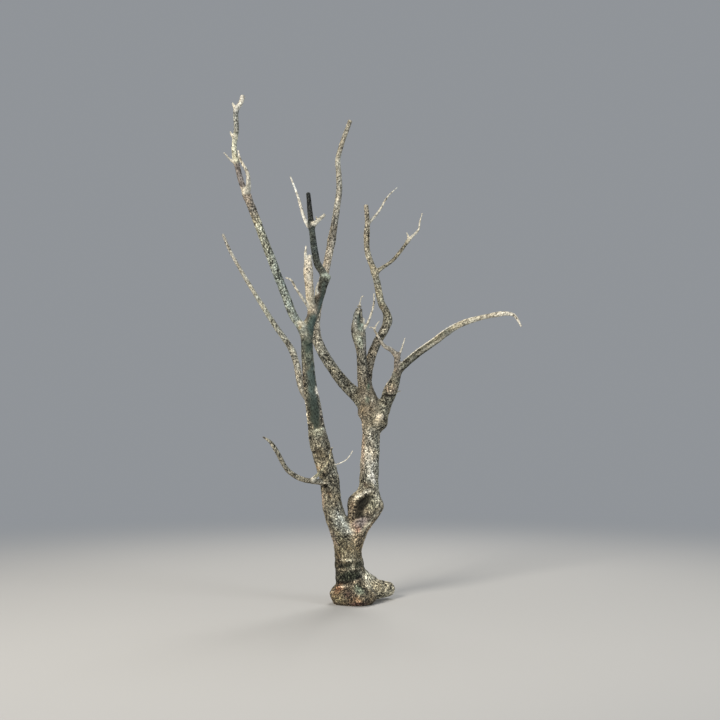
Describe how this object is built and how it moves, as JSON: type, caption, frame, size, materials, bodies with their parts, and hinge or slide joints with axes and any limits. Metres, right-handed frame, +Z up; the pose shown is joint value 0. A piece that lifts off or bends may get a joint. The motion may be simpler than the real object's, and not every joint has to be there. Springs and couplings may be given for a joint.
{
  "type": "dead tree",
  "caption": "Bare dead tree, cut flat at ground level: a short swollen trunk forks low into leaning stems with crooked, broken boughs and sparse thin twigs.",
  "frame": {"origin": "on the ground, on the flat cut under the foot of the trunk", "axes": "+Z up; +X the tree's right and +Y its back, as seen from the front"},
  "size_m": [2.7194, 1.9393, 4.5811],
  "materials": {
    "bark": "rough, pitted, dry bark with grey-green lichen",
    "dark_bark": "dark, scorched-looking bark",
    "bare_wood": "weathered bare wood, matt",
    "twig_bark": "dry twig, matt"
  },
  "bodies": {
    "root": {"arch_arm": "bark", "arch_reach": "bark", "arch_snag": "bark", "back_bough": "bark", "back_spar": "bark", "centre_bough": "bark", "centre_leader": "dark_bark", "crooked_bough": "bark", "crooked_rise": "bark", "crooked_side": "bark", "crooked_top": "bark", "hook_bough": "bark", "left_bough": "bark", "left_bough_top": "bark", "left_stem": "bark", "low_bough": "bark", "pale_snag": "bare_wood", "right_bough": "bark", "right_stem": "bark", "spire_pale": "bare_wood", "spire_torn": "bare_wood", "torn_bough": "bark", "trunk": "bark", "twig_arch_fork": "twig_bark", "twig_arch_shoot": "twig_bark", "twig_arch_spur": "twig_bark", "twig_centre_spur": "twig_bark", "twig_centre_stub": "twig_bark", "twig_centre_whip": "twig_bark", "twig_crooked_fork": "twig_bark", "twig_hook_cross": "twig_bark", "twig_left_bud": "twig_bark", "twig_left_nub": "twig_bark", "twig_left_spur": "twig_bark", "twig_left_strand": "twig_bark", "twig_side_end": "twig_bark", "twig_snag_whip": "twig_bark", "twig_stem_whip": "twig_bark", "twig_torn_hook": "twig_bark", "twig_torn_side": "twig_bark"}
  },
  "joints": []
}
